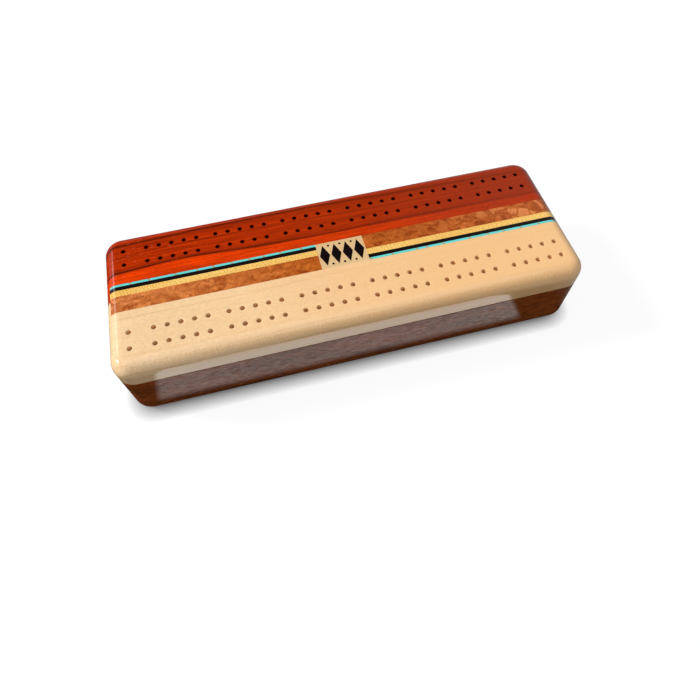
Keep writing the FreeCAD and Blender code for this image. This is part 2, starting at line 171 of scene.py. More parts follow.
@dataclass(frozen=True)
class Lacquer:
    """A clear sprayed finish.

    It gives the wood a deep, sharp gloss in the place of its own soft one, and lies a little
    uneven, which bends what it reflects. Its hard top coat mirrors more than plain varnish of
    IOR 1.5 does. On walnut the open pores break the film in streaks, where less of it counts.
    Round a peg hole the lip is sanded soft, and its lacquer catches the window.
    """

    weight: float = 1.0
    roughness: float = 0.11
    ior: float = 1.8
    wood_gloss: float = 0.0
    ripple_mm: float = 4.0
    ripple_height_mm: float = 0.008
    streak_mm: tuple[float, float] = (5.0, 0.8)
    streak_loss: float = 0.0
    lip_mm: float = 0.0


class Bench:
    """The node tree of one finish, whose coordinates are millimetres along and across the grain."""

    def __init__(self, name: str, grain: Grain = Grain.ALONG_BOX) -> None:
        """Start an empty material.

        Args:
            name: The material's name.
            grain: The way that the grain runs.
        """
        self.material = bpy.data.materials.new(name)
        self.material.use_nodes = True
        self.material.node_tree.nodes.clear()
        place = self.add("TexCoord", output="Object")
        turn = {"Vector": place, "Angle": grain.value}
        turned = self.add("VectorRotate", turn, rotation_type="Z_AXIS")
        self.place = self.add("VectorMath", {0: turned, "Scale": 1 / MM}, operation="SCALE")
        self.along = self.add("SeparateXYZ", {0: self.place}, output="X")
        self.across = self.along.node.outputs["Y"]
        self.height = self.along.node.outputs["Z"]

    def add(self, kind: str, inputs: Inputs | None = None, **settings: Any) -> Socket | None:
        """Add a node to this material, as add_node does."""
        return add_node(self.material.node_tree, kind, inputs, **settings)

    def patches(
        self,
        length_mm: float,
        width_mm: float,
        middle: float = 0.5,
        swing: float = 0.5,
        seed: int = 0,
        detail: float = 2.0,
        place: Socket | None = None,
    ) -> Socket:
        """Soft random patches of tone.

        Args:
            length_mm: The size of a patch along the grain.
            width_mm: Its size across the grain.
            middle: The value halfway between the weakest and the strongest patch.
            swing: How far those two are from it.
            seed: Picks another set of patches.
            detail: How many finer layers the patches have.
            place: The coordinates, if they aren't the plain ones.

        Returns:
            The value.
        """
        size = (1 / length_mm, 1 / width_mm, 1 / width_mm)
        sized = {0: place or self.place, 1: size, 2: PATCH_SHIFT * seed}
        spread = self.add("VectorMath", sized, operation="MULTIPLY_ADD")
        field = self.add("TexNoise", {"Vector": spread, "Scale": 1.0, "Detail": detail})
        weakest, strongest = NOISE_RANGE
        values = {"To Min": middle - swing, "To Max": middle + swing}
        field_range = {"Value": field, "From Min": weakest, "From Max": strongest}
        return self.add("MapRange", field_range | values)

    def shaded(
        self, colour: Socket, length_mm: float, width_mm: float, swing: float, **pattern: Any
    ) -> Socket:
        """Make a colour darker and lighter in patches, by up to the swing."""
        tone = self.patches(length_mm, width_mm, 1.0, swing, **pattern)
        return self.add("VectorMath", {0: colour, "Scale": tone}, operation="SCALE")

    def blend(
        self,
        under: Socket | str,
        over: str,
        mask: Socket,
        share: Socket | float = 1.0,
        **settings: Any,
    ) -> Socket:
        """Lay a second colour over a first where a mask is, by a share of it."""
        amount = self.add("Math", {0: mask, 1: share}, operation="MULTIPLY")
        return self.add("MixRGB", {"Fac": amount, "Color1": under, "Color2": over}, **settings)

    def rippled(self, colour: Socket, wave: Socket, swing: float) -> Socket:
        """Make a colour darker and lighter with a wave, by up to the swing."""
        tone = self.add("Math", {0: wave, 1: swing, 2: 1.0}, operation="MULTIPLY_ADD")
        return self.add("VectorMath", {0: colour, "Scale": tone}, operation="SCALE")

    def layers(self, level: tuple[float, float, float], stray: Socket) -> Socket:
        """Count the layers of the wood in the direction that they face, bent by their stray."""
        flat = self.add(
            "VectorMath", {0: self.place, 1: level}, operation="DOT_PRODUCT", output="Value"
        )
        return self.add("Math", {0: flat, 1: stray}, operation="ADD")

    def dashes(
        self, length_mm: float, width_mm: float, apart: float, share: float = 1.0, seed: int = 0
    ) -> Socket:
        """Short marks along the grain, such as open pores.

        Args:
            length_mm: The length of a mark.
            width_mm: Its width.
            apart: How many of its own sizes a mark has to itself.
            share: How many of the places for a mark hold one.
            seed: Picks another set of marks.

        Returns:
            1 in a mark and 0 beside it.
        """
        size = (1 / (length_mm * apart), 1 / (width_mm * apart), 1 / (width_mm * apart))
        sized = {0: self.place, 1: size, 2: DASH_SHIFT * seed}
        spread = self.add("VectorMath", sized, operation="MULTIPLY_ADD")
        distance = self.add("TexVoronoi", {"Vector": spread, "Scale": 1.0}, output="Distance")
        reach = 1 / (2 * apart)
        rim = {"From Min": reach, "From Max": reach / 2}
        inside = self.add("MapRange", {"Value": distance} | rim)
        lot = self.add("SeparateColor", {0: distance.node.outputs["Color"]}, output="Red")
        drawn = self.add("Math", {0: lot, 1: share}, operation="LESS_THAN")
        return self.add("Math", {0: inside, 1: drawn}, operation="MULTIPLY")

    def rings(
        self, spacing_mm: float, share: float, tilt: float, wander_mm: float, reach_mm: float
    ) -> Socket:
        """The late wood of the growth rings, which darkens slowly, ends sharply and varies by year.

        Args:
            spacing_mm: The width of a ring.
            share: How much of it the late wood takes.
            tilt: The slope of the rings through the thickness, in radians.
            wander_mm: How far a ring strays sideways.
            reach_mm: The length along the grain over which it strays.

        Returns:
            From 0 in the early wood to 1 in the strongest late wood.
        """
        level = (0.0, math.cos(tilt) / spacing_mm, math.sin(tilt) / spacing_mm)
        stray = wander_mm / spacing_mm
        bend = self.patches(reach_mm, reach_mm / BEND_STRETCH, 0.0, stray, seed=10, detail=1.0)
        ring = self.layers(level, bend)
        phase = self.add("Math", {0: ring}, operation="FRACT")
        ends = {"From Min": LATE_WOOD_END - share, "From Max": LATE_WOOD_END}
        late = self.add("MapRange", {"Value": phase} | ends, interpolation_type="SMOOTHSTEP")
        year = self.add("Math", {0: ring}, operation="FLOOR")
        strength = self.add("TexWhiteNoise", {"W": year}, noise_dimensions="1D", output="Value")
        return self.add("Math", {0: late, 1: strength}, operation="MULTIPLY")

    def curl(self, wave_mm: float, slant: float) -> Socket:
        """Waves across the grain, as in curly maple and fiddleback satinwood.

        Args:
            wave_mm: The length of a wave.
            slant: How far a wave leans along the grain, for each millimetre across it.

        Returns:
            From -1 to 1 over each wave.
        """
        turns = 2 * math.pi / wave_mm
        level = (turns, slant * turns, -slant * turns)
        length, width = (size * wave_mm for size in CURL_STRAY_SIZE)
        stray = self.patches(length, width, 0.0, CURL_STRAY, seed=8)
        return self.add("Math", {0: self.layers(level, stray)}, operation="SINE")

    def finish(
        self,
        colour: Socket,
        roughness: Socket,
        relief: Socket,
        relief_mm: float,
        lacquer: Lacquer | None = None,
        **surface: Any,
    ) -> bpy.types.Material:
        """Close the tree with the surface shader.

        Args:
            colour: The surface's colour.
            roughness: Its roughness.
            relief: The height of its fine relief, from 0 to 1.
            relief_mm: What a relief of 1 measures.
            lacquer: The clear finish on it, if it has one.
            **surface: Plain values for other inputs of the shader, with _ for a space.

        Returns:
            The finished material.
        """
        under = {"Height": relief, "Distance": relief_mm * MM, "Strength": 1.0}
        if lacquer and lacquer.lip_mm:
            under["Normal"] = self.add("Bevel", {"Radius": lacquer.lip_mm * MM}, samples=LIP_SAMPLES)
        skin = self.add("Bump", under)
        inputs = {"Base Color": colour, "Roughness": roughness, "Normal": skin}
        inputs |= {name.replace("_", " "): value for name, value in surface.items()}
        if lacquer:
            ripple = self.patches(lacquer.ripple_mm, lacquer.ripple_mm, seed=9)
            over = {"Height": ripple, "Distance": lacquer.ripple_height_mm * MM, "Strength": 1.0}
            film = self.add("Bump", over | {"Normal": skin})
            weight = lacquer.weight
            if lacquer.streak_loss:
                swing = weight * lacquer.streak_loss / 2
                weight = self.patches(*lacquer.streak_mm, weight - swing, swing, seed=12, detail=3.0)
            inputs |= {
                "Coat Weight": weight,
                "Coat Roughness": lacquer.roughness,
                "Coat IOR": lacquer.ior,
                "Coat Normal": film,
                "Specular IOR Level": lacquer.wood_gloss,
            }
        shader = self.add("BsdfPrincipled", inputs)
        self.add("OutputMaterial", {"Surface": shader})
        return self.material


# Plain varnish that sinks into walnut's open pores, so that its gloss is streaky.
OPEN_PORED = Lacquer(ior=1.5, streak_loss=0.66)
# The hard lacquer on the maple half of the board, which gives each peg hole a soft bright lip.
DRILLED = Lacquer(lip_mm=1.0)


@dataclass(frozen=True)
class Timber:
    """Sawn, planed and sanded wood.

    Early wood, late wood, fibres and pores each give it a tone of their own. Sanding leaves the
    pores open as fine dashes along the grain. They are drawn wider than the real 0.1 mm, which
    would not show.
    """

    name: str
    pale: str
    deep: str
    late: str
    pore: str
    patch_mm: tuple[float, float] = (70.0, 11.0)
    ring_mm: float = 5.0
    late_share: float = 0.25
    late_strength: float = 0.5
    ring_tilt: float = 0.5
    wander_mm: float = 4.0
    wander_reach_mm: float = 130.0
    fibre_mm: tuple[float, float] = (14.0, 0.5)
    fibre_contrast: float = 0.05
    mottle_mm: tuple[float, float] = (2.4, 1.2)
    mottle_contrast: float = 0.02
    pore_mm: tuple[float, float] = (1.0, 0.3)
    pore_apart: float = 3.0
    pore_share: float = 1.0
    pore_strength: float = 0.3
    roughness: float = 0.4
    wear_mm: tuple[float, float] = (9.0, 3.0)
    wear: float = 0.05
    relief_mm: float = 0.012
    grain: Grain = Grain.ALONG_BOX
    lacquer: Lacquer | None = Lacquer()

    def ground(self, bench: Bench) -> Socket:
        """The wood's broad colour, before rings and fibres."""
        patch = bench.patches(*self.patch_mm, seed=1)
        return bench.blend(self.pale, self.deep, patch)

    def toned(self, bench: Bench, colour: Socket) -> Socket:
        """The broad colour with the late wood, the fibres and the mottle.

        Args:
            bench: The material's bench.
            colour: The broad colour.

        Returns:
            The colour without its pores.
        """
        late = bench.rings(
            self.ring_mm, self.late_share, self.ring_tilt, self.wander_mm, self.wander_reach_mm
        )
        ringed = bench.blend(colour, self.late, late, self.late_strength)
        fibred = bench.shaded(ringed, *self.fibre_mm, self.fibre_contrast, seed=2, detail=3.0)
        return bench.shaded(fibred, *self.mottle_mm, self.mottle_contrast, seed=3)

    def figure(self, bench: Bench, colour: Socket) -> Socket:
        """What a finer wood adds over its tones; plain wood adds nothing."""
        return colour

    def material(self) -> bpy.types.Material:
        """Make the material.

        Returns:
            The material.
        """
        bench = Bench(self.name, self.grain)
        colour = self.figure(bench, self.toned(bench, self.ground(bench)))
        pores = bench.dashes(*self.pore_mm, self.pore_apart, self.pore_share)
        pored = bench.blend(colour, self.pore, pores, self.pore_strength)
        roughness = bench.patches(*self.wear_mm, self.roughness, self.wear, seed=5)
        relief = bench.add("Math", {0: 1.0, 1: pores}, operation="SUBTRACT")
        return bench.finish(pored, roughness, relief, self.relief_mm, self.lacquer)


@dataclass(frozen=True)
class CurlyMaple(Timber):
    """Hard maple of the playing board, whose rounded edge cuts across a fine curl.

    The curl shows as slanting ripples where the surface leaves the flat, among small orange
    mineral flecks. The colour is painted warmer towards the drawer end, a painted sheen that
    leaves the closed end paler under the window, and the sides below the rounded edge are
    painted a tenth darker, as shade. curl_depths says how strong the curl is at each share of
    curl_reach_mm below the top. The real ripples are 1.2 mm apart, and are drawn wider so that
    they show.
    """

    warm: str = "#F9C589"
    warm_range_mm: tuple[float, float] = (-130.0, 60.0)
    warm_share: float = 0.8
    side_shade_tone: float = 0.9
    side_shade_from: float = 0.5
    curl_mm: float = 1.7
    curl_slant: float = 0.5
    curl_contrast: float = 0.085
    curl_depths: Stops = ((0.0, "#000000"), (0.2, "#FFFFFF"), (0.5, "#C0C0C0"), (0.85, "#303030"))
    curl_reach_mm: float = 10.0
    fleck: str = "#DE8F45"
    fleck_mm: float = 1.0
    fleck_apart: float = 4.0
    fleck_share: float = 0.35

    def figure(self, bench: Bench, colour: Socket) -> Socket:
        """The painted sheen of the warmer end, then the curl, the flecks and the painted shade of the
        sides.

        Args:
            bench: The material's bench.
            colour: The wood's tones.

        Returns:
            The colour with its figure.
        """
        # Painted sheen: the colour warms towards the drawer end, so the closed end under the window
        # looks paler.
        cool, warm = self.warm_range_mm
        end = bench.add("MapRange", {"Value": bench.along, "From Min": cool, "From Max": warm})
        warmed = bench.blend(colour, self.warm, end, self.warm_share)
        reach = {"From Min": TOP_MM, "From Max": TOP_MM - self.curl_reach_mm}
        depth = bench.add("MapRange", {"Value": bench.height} | reach)
        edge = bench.add("ValToRGB", {"Fac": depth}, stops=self.curl_depths)
        wave = bench.curl(self.curl_mm, self.curl_slant)
        swing = bench.add("Math", {0: wave, 1: self.curl_contrast}, operation="MULTIPLY")
        # Painted shade: from halfway down the rounded edge, the sides are made a tenth darker than the
        # top.
        tones = {"From Min": self.side_shade_from, "To Min": 1.0, "To Max": self.side_shade_tone}
        side = bench.add("MapRange", {"Value": depth} | tones)
        tone = bench.add("Math", {0: swing, 1: edge, 2: side}, operation="MULTIPLY_ADD")
        curled = bench.add("VectorMath", {0: warmed, "Scale": tone}, operation="SCALE")
        size = (self.fleck_mm, self.fleck_mm)
        flecks = bench.dashes(*size, self.fleck_apart, self.fleck_share, seed=7)
        return bench.blend(curled, self.fleck, flecks, edge)


@dataclass(frozen=True)
class Bow:
    """A smooth rise in the run of the grain."""

    middle_mm: float
    reach_mm: float
    rise_mm: float

    def offset(self, bench: Bench) -> Socket:
        """How far the grain is pushed sideways at each place along the board.

        Args:
            bench: The material's bench.

        Returns:
            The push in millimetres.
        """
        away = bench.add("Math", {0: bench.along, 1: self.middle_mm}, operation="SUBTRACT")
        share = bench.add("Math", {0: away, 1: self.reach_mm}, operation="DIVIDE")
        fall = bench.add("Math", {0: share, 1: share, 2: 1.0}, operation="MULTIPLY_ADD")
        return bench.add("Math", {0: self.rise_mm, 1: fall}, operation="DIVIDE")


class Heartwood(Enum):
    """The tones of padauk's lanes, from the brightest to the thin dark streaks."""

    FLAME = "#EA3F00"
    WARM = "#C23300"
    RED = "#AC2B00"
    DEEP = "#902500"
    STREAK = "#601A02"


@dataclass(frozen=True)
class Padauk(Timber):
    """Padauk heartwood, vivid orange-red with dark lanes that run the length of the board.

    A lane keeps its place across the board but bows with the tree: the outer ones in one long
    arch, the inner ones round a short swelling near the closed end. They slope through the
    thickness. Its colour is painted duller and deeper towards the drawer end, as shade away from
    the window, and polishing dust shows pale in the pores of the other end. The walls of the peg
    holes are painted almost black, as shade: bore_range_mm is the half length and half width of
    the ground they stand in.
    """

    lanes_mm: tuple[tuple[float, Heartwood], ...] = (
        (8.0, Heartwood.WARM), (13.0, Heartwood.FLAME), (17.2, Heartwood.FLAME),
        (18.0, Heartwood.WARM), (18.6, Heartwood.STREAK), (19.3, Heartwood.STREAK),
        (20.3, Heartwood.RED), (24.0, Heartwood.WARM), (27.5, Heartwood.RED),
        (30.2, Heartwood.WARM), (31.3, Heartwood.DEEP), (32.2, Heartwood.WARM),
        (35.5, Heartwood.RED), (38.4, Heartwood.RED), (39.3, Heartwood.STREAK),
        (40.3, Heartwood.STREAK), (41.1, Heartwood.RED), (45.0, Heartwood.WARM),
        (49.0, Heartwood.DEEP), (53.0, Heartwood.RED), (59.0, Heartwood.DEEP),
        (68.0, Heartwood.RED),
    )
    lane_slope: float = 0.8
    swelling: Bow = Bow(-103.0, 38.0, 4.2)
    arch: Bow = Bow(-35.0, 130.0, 6.7)
    bow_range_mm: tuple[float, float] = (20.0, 45.0)
    lane_wander_mm: float = 0.5
    lane_wander_size_mm: tuple[float, float] = (60.0, 6.0)
    dull_range_mm: tuple[float, float] = (-95.0, 115.0)
    dull_share: float = 0.75
    dust_mm: tuple[float, float] = (1.4, 0.3)
    dust_apart: float = 2.8
    dust_share: float = 0.26
    dust_from_mm: float = -98.0
    bore_shade: str = "#260400"
    bore_shade_share: float = 0.8
    bore_depth_mm: float = 0.5
    bore_range_mm: tuple[float, float] = (146.0, 45.0)

    def ground(self, bench: Bench) -> Socket:
        """The lanes, which a colour ramp lays side by side across the board.

        Args:
            bench: The material's bench.

        Returns:
            The lanes' colours.
        """
        inner, outer = self.bow_range_mm
        share = bench.add("MapRange", {"Value": bench.across, "From Min": inner, "From Max": outer})
        bows = {"A": self.swelling.offset(bench), "B": self.arch.offset(bench)}
        bow = bench.add("Mix", {"Factor": share} | bows)
        stray = bench.patches(*self.lane_wander_size_mm, 0.0, self.lane_wander_mm, seed=11)
        strayed = bench.layers((0.0, 1.0, -self.lane_slope), stray)
        bent = bench.add("Math", {0: strayed, 1: bow}, operation="SUBTRACT")
        drop = self.lane_slope * TOP_MM
        first, last = (self.lanes_mm[end][0] - drop for end in (0, -1))
        lane = bench.add("MapRange", {"Value": bent, "From Min": first, "From Max": last})
        stops = ramp_stops(tuple((place, tone.value) for place, tone in self.lanes_mm))
        return bench.add("ValToRGB", {"Fac": lane}, stops=stops)

    def figure(self, bench: Bench, colour: Socket) -> Socket:
        """The painted shade of the duller end, the dust in the pores of the other one, and the painted
        shade in the bores.

        Args:
            bench: The material's bench.
            colour: The wood's tones.

        Returns:
            The colour with its figure.
        """
        # Painted shade: the colour turns duller and deeper towards the drawer end, away from the
        # window.
        bright, dull = self.dull_range_mm
        end = bench.add("MapRange", {"Value": bench.along, "From Min": bright, "From Max": dull})
        dulled = bench.blend(colour, self.deep, end, self.dull_share)
        near_end = bench.add("Math", {0: bench.along, 1: self.dust_from_mm}, operation="LESS_THAN")
        dusty = bench.dashes(*self.dust_mm, self.dust_apart, self.dust_share, seed=4)
        dusted = bench.blend(dulled, self.pale, dusty, near_end)
        # Painted shade: below the top, the walls of the peg holes are painted almost black.
        away = bench.add("Math", {0: bench.along}, operation="ABSOLUTE")
        limits = (*self.bore_range_mm, TOP_MM - self.bore_depth_mm)
        inside: Socket | float = 1.0
        for place, limit in zip((away, bench.across, bench.height), limits):
            within = bench.add("Math", {0: place, 1: limit}, operation="LESS_THAN")
            inside = bench.add("Math", {0: within, 1: inside}, operation="MULTIPLY")
        return bench.blend(dusted, self.bore_shade, inside, self.bore_shade_share)


@dataclass(frozen=True)
class Burl(Timber):
    """Burl veneer, whose grain turns every way round dormant buds.

    Its clouds of tone are stirred together, with small dark eyes. pale and deep shade the tone
    that run_mm gives each stretch: it darkens from the closed end towards the tile, and towards
    the drawer end it breaks into angular facets, more or less pale by lot.
    """

    stir_mm: float = 12.0
    stir_size_mm: float = 6.0
    cloud_mm: tuple[float, float] = (8.0, 3.6)
    swirls: float = 5.0
    swirl_contrast: float = 0.11
    run_mm: Stops = ((-150.0, "#F69A57"), (-20.0, "#D27129"), (150.0, "#CC6C34"))
    facet: str = "#B4683A"
    facet_mm: float = 7.0
    facet_drift_mm: float = 3.0
    facet_lots: tuple[float, float] = (0.3, 0.9)
    facet_gap: tuple[float, float] = (0.02, 0.14)
    facet_range_mm: tuple[float, float] = (60.0, 130.0)

    def stirred(self, bench: Bench, reach_mm: float) -> Socket:
        """Coordinates that turn about, as the grain does round the buds.

        Args:
            bench: The material's bench.
            reach_mm: How far a place may be moved.

        Returns:
            The coordinates.
        """
        field = {"Vector": bench.place, "Scale": 1 / self.stir_size_mm, "Detail": 2.0}
        drift = bench.add("TexNoise", field, output="Color")
        centred = bench.add("VectorMath", {0: drift, 1: (0.5, 0.5, 0.5)}, operation="SUBTRACT")
        reach = (reach_mm, reach_mm, reach_mm)
        return bench.add("VectorMath", {0: centred, 1: reach, 2: bench.place}, operation="MULTIPLY_ADD")

    def ground(self, bench: Bench) -> Socket:
        """The tone of each stretch, with stirred clouds and swirls of a deeper one in it.

        Args:
            bench: The material's bench.

        Returns:
            The broad colour.
        """
        first, last = self.run_mm[0][0], self.run_mm[-1][0]
        run = bench.add("MapRange", {"Value": bench.along, "From Min": first, "From Max": last})
        tone = bench.add("ValToRGB", {"Fac": run}, stops=ramp_stops(self.run_mm))
        place = self.stirred(bench, self.stir_mm)
        cloud = bench.patches(*self.cloud_mm, seed=1, detail=3.0, place=place)
        shade = bench.blend(self.pale, self.deep, cloud)
        clouded = bench.add("VectorMath", {0: tone, 1: shade}, operation="MULTIPLY")
        turns = bench.add("Math", {0: cloud, 1: 2 * math.pi * self.swirls}, operation="MULTIPLY")
        wave = bench.add("Math", {0: turns}, operation="SINE")
        return bench.rippled(clouded, wave, self.swirl_contrast)

    def figure(self, bench: Bench, colour: Socket) -> Socket:
        """The angular facets of the drawer end, some of them paler, with deeper wood between.

        Args:
            bench: The material's bench.
            colour: The wood's tones.

        Returns:
            The colour with its figure.
        """
        start, full = self.facet_range_mm
        end = bench.add("MapRange", {"Value": bench.along, "From Min": start, "From Max": full})
        place = self.stirred(bench, self.facet_drift_mm)
        cells = {"Vector": place, "Scale": 1 / self.facet_mm}
        cell = bench.add("TexVoronoi", cells, output="Color")
        lot = bench.add("SeparateColor", {0: cell}, output="Red")
        gap = bench.add("TexVoronoi", cells, feature="DISTANCE_TO_EDGE")
        pale, inside = (
            bench.add("MapRange", {"Value": value, "From Min": low, "From Max": high})
            for value, (low, high) in ((lot, self.facet_lots), (gap, self.facet_gap))
        )
        shape = bench.add("Math", {0: pale, 1: inside}, operation="MULTIPLY")
        return bench.blend(colour, self.facet, shape, end, blend_type="SCREEN")


@dataclass(frozen=True)
class Satinwood(Timber):
    """Satinwood stringing with a fiddleback ripple.

    Bands of pale and deep gold slant across the strip. The real ones are 1.3 mm apart, and are
    drawn a little wider so that they show.
    """

    ripple_mm: float = 1.9
    ripple_slant: float = 0.45
    ripple_contrast: float = 0.2

    def figure(self, bench: Bench, colour: Socket) -> Socket:
        """The ripple across the grain."""
        wave = bench.curl(self.ripple_mm, self.ripple_slant)
        return bench.rippled(colour, wave, self.ripple_contrast)


@dataclass(frozen=True)
class InlaidStone:
    """Reconstituted turquoise, ground and polished flush with the wood.

    It is clouded from blue to green, and thin gold-brown veins of matrix cross it where its
    pieces meet. The surface is smooth and glossy under the lacquer.
    """

    name: str
    blue: str
    green: str
    vein: str
    piece_mm: float = 13.0
    cloud_mm: tuple[float, float] = (9.0, 4.0)
    vein_mm: float = 0.9
    vein_core: float = 0.3
    vein_slant: float = 0.7
    vein_stray: float = 0.03
    vein_stray_mm: tuple[float, float] = (2.0, 1.0)
    vein_strength: float = 0.85
    grit_mm: float = 0.8
    grit_contrast: float = 0.05
    roughness: float = 0.3
    wear_mm: float = 6.0
    wear: float = 0.05
    relief_mm: float = 0.01

    def material(self) -> bpy.types.Material:
        """Make the material.

        Returns:
            The material.
        """
        bench = Bench(self.name)
        cloud = bench.patches(*self.cloud_mm, seed=1)
        clouded = bench.blend(self.blue, self.green, cloud)
        level = (1 / self.piece_mm, self.vein_slant / self.piece_mm, 0.0)
        stray = bench.patches(*self.vein_stray_mm, 0.0, self.vein_stray, seed=4)
        pieces = {"W": bench.layers(level, stray), "Scale": 1.0}
        edge = bench.add("TexVoronoi", pieces, voronoi_dimensions="1D", feature="DISTANCE_TO_EDGE")
        width = self.vein_mm / self.piece_mm
        reach = {"From Min": width, "From Max": self.vein_core * width, "To Max": self.vein_strength}
        vein = bench.add("MapRange", {"Value": edge} | reach)
        veined = bench.blend(clouded, self.vein, vein)
        colour = bench.shaded(veined, self.grit_mm, self.grit_mm, self.grit_contrast, seed=2)
        roughness = bench.patches(self.wear_mm, self.wear_mm, self.roughness, self.wear, seed=3)
        relief = bench.add("Math", {0: 1.0, 1: vein}, operation="SUBTRACT")
        return bench.finish(colour, roughness, relief, self.relief_mm, Lacquer())


@dataclass(frozen=True)
class WoolFelt:
    """Pressed wool felt, dyed green.

    Matted fibres give it a soft nap without gloss: fine fuzz, slow clouds where the nap lies
    differently, and a pale sheen at a low angle. A fibre is 0.03 mm thick, so tufts stand for it.
    """

    name: str
    dark: str
    light: str
    tuft_mm: float = 0.7
    tuft_height_mm: float = 0.12
    nap_mm: float = 18.0
    nap_contrast: float = 0.14
    roughness: float = 0.95
    wear_mm: float = 2.0
    wear: float = 0.05
    sheen: float = 0.35
    sheen_roughness: float = 0.5
    gloss: float = 0.2

    def material(self) -> bpy.types.Material:
        """Make the material.

        Returns:
            The material.
        """
        bench = Bench(self.name)
        tufts = bench.patches(self.tuft_mm, self.tuft_mm, seed=1, detail=4.0)
        dyed = bench.blend(self.dark, self.light, tufts)
        colour = bench.shaded(dyed, self.nap_mm, self.nap_mm, self.nap_contrast, seed=2)
        roughness = bench.patches(self.wear_mm, self.wear_mm, self.roughness, self.wear, seed=3)
        return bench.finish(
            colour, roughness, tufts, self.tuft_height_mm, Sheen_Weight=self.sheen,
            Sheen_Roughness=self.sheen_roughness, Specular_IOR_Level=self.gloss,
        )


@dataclass(frozen=True)
class TurnedMetal:
    """Metal turned on a lathe and polished, as a peg is.

    The tool leaves fine rings round the axis, which stretch a highlight along the peg, and
    handling leaves faint cloudy marks. The rings are drawn wider apart than the real 0.1 mm,
    which would not show.
    """

    name: str
    bright: str
    tarnish: str
    roughness: float = 0.3
    ring_mm: float = 1.0
    ring_height_mm: float = 0.0003
    tarnish_mm: float = 3.0
    tarnish_share: float = 0.7
    wear_mm: float = 4.0
    wear: float = 0.02

    def material(self) -> bpy.types.Material:
        """Make the material.

        Returns:
            The material.
        """
        bench = Bench(self.name)
        cloud = bench.patches(self.tarnish_mm, self.tarnish_mm, seed=1)
        colour = bench.blend(self.bright, self.tarnish, cloud, self.tarnish_share)
        per_mm = 2 * math.pi / self.ring_mm
        turns = bench.add("Math", {0: bench.along, 1: per_mm}, operation="MULTIPLY")
        wave = bench.add("Math", {0: turns}, operation="SINE")
        relief = bench.add("Math", {0: wave, 1: 0.5, 2: 0.5}, operation="MULTIPLY_ADD")
        roughness = bench.patches(self.wear_mm, self.wear_mm, self.roughness, self.wear, seed=2)
        return bench.finish(colour, roughness, relief, self.ring_height_mm, Metallic=1.0)


# Pale cream, with thin warmer growth lines.
MAPLE = CurlyMaple(
    "hard_maple_lacquered", "#FCD8AA", "#F7CF9E", "#E3A76E", "#E4AE7A",
    ring_mm=6.4, late_share=0.16, late_strength=0.62, ring_tilt=0.35, wander_mm=2.2,
    wander_reach_mm=170.0, fibre_contrast=0.035, mottle_mm=(1.9, 1.3), mottle_contrast=0.065,
    pore_mm=(1.6, 0.35), pore_apart=3.6, pore_strength=0.16, lacquer=DRILLED,
)
# Vivid red, with long fibres and large dark pores.
PADAUK = Padauk(
    "padauk_lacquered", "#E08468", "#983010", "#7A2006", "#4A1204",
    ring_mm=2.3, late_share=0.5, late_strength=0.42, ring_tilt=-0.67, wander_mm=1.6,
    wander_reach_mm=140.0, fibre_mm=(24.0, 0.9), fibre_contrast=0.3, mottle_contrast=0.06,
    pore_mm=(3.2, 0.4), pore_apart=2.4, pore_strength=0.6,
)
# Deep brown, with streaky fibres and long open pores.
WALNUT = Timber(
    "black_walnut_lacquered", "#9A4E1A", "#70360E", "#451D07", "#220C04",
    ring_mm=4.2, late_share=0.45, ring_tilt=0.9, wander_mm=3.0,
    fibre_mm=(7.0, 0.7), fibre_contrast=0.55, mottle_contrast=0.12,
    pore_mm=(2.4, 0.4), pore_apart=2.0, pore_strength=0.7, relief_mm=0.03, lacquer=OPEN_PORED,
)
WALNUT_ACROSS = replace(
    WALNUT, name="black_walnut_across", ring_mm=5.2, ring_tilt=0.7, wander_mm=5.0,
    wander_reach_mm=90.0, grain=Grain.ACROSS_BOX,
)
# Orange-brown and restless, with hardly a straight fibre.
BURL = Burl(
    "burl_veneer", "#FFFFFF", "#B08A68", "#8A4418", "#5E2A0D",
    ring_mm=9.0, late_share=0.3, late_strength=0.15, fibre_mm=(3.2, 1.4), fibre_contrast=0.06,
    mottle_mm=(2.0, 1.4), mottle_contrast=0.05, pore_mm=(0.7, 0.6), pore_apart=5.0, pore_share=0.4,
    pore_strength=0.5,
)
# Clear gold.
SATINWOOD = Satinwood(
    "satinwood_stringing", "#FBCD74", "#F2B95A", "#D2902F", "#BC7C28",
    ring_mm=2.6, late_strength=0.3, pore_strength=0.2,
)
# Veneer dyed right through, almost black, with the grain just showing.
BLACKWOOD = Timber(
    "dyed_black_veneer", "#1B1011", "#100809", "#0A0505", "#080404",
    ring_mm=1.8, fibre_contrast=0.25, mottle_contrast=0.1,
)
# Plain and even, a little darker than the board.
TILE_MAPLE = Timber(
    "plain_maple_tile", "#E9C795", "#E0B985", "#CFA066", "#C99B62",
    ring_mm=2.4, late_share=0.3, late_strength=0.4, fibre_contrast=0.03, pore_strength=0.15,
)
# Dull and light, only oiled.
DRAWER_WOOD = Timber(
    "soft_maple_oiled", "#E8C698", "#DDB585", "#C4945C", "#B98A55",
    late_share=0.3, late_strength=0.45, fibre_contrast=0.04, roughness=0.55, lacquer=None,
)
DRAWER_WOOD_ACROSS = replace(DRAWER_WOOD, name="soft_maple_across", grain=Grain.ACROSS_BOX)
# Rotary-cut face veneer, whose rings spread into wide flames.
BIRCH_PLY = Timber(
    "birch_plywood", "#E2BF8C", "#D8B17C", "#BE9058", "#A87A46",
    ring_mm=1.1, late_share=0.5, late_strength=0.4, ring_tilt=1.45, wander_mm=9.0,
    wander_reach_mm=190.0, pore_mm=(1.4, 0.3), pore_strength=0.35, roughness=0.6, lacquer=None,
)
# Sky blue to sea green.
TURQUOISE = InlaidStone("reconstituted_turquoise", "#6ADCE2", "#66D8C6", "#B0883C")
# Bottle green.
FELT = WoolFelt("pressed_wool_felt", "#12402A", "#2A6646")
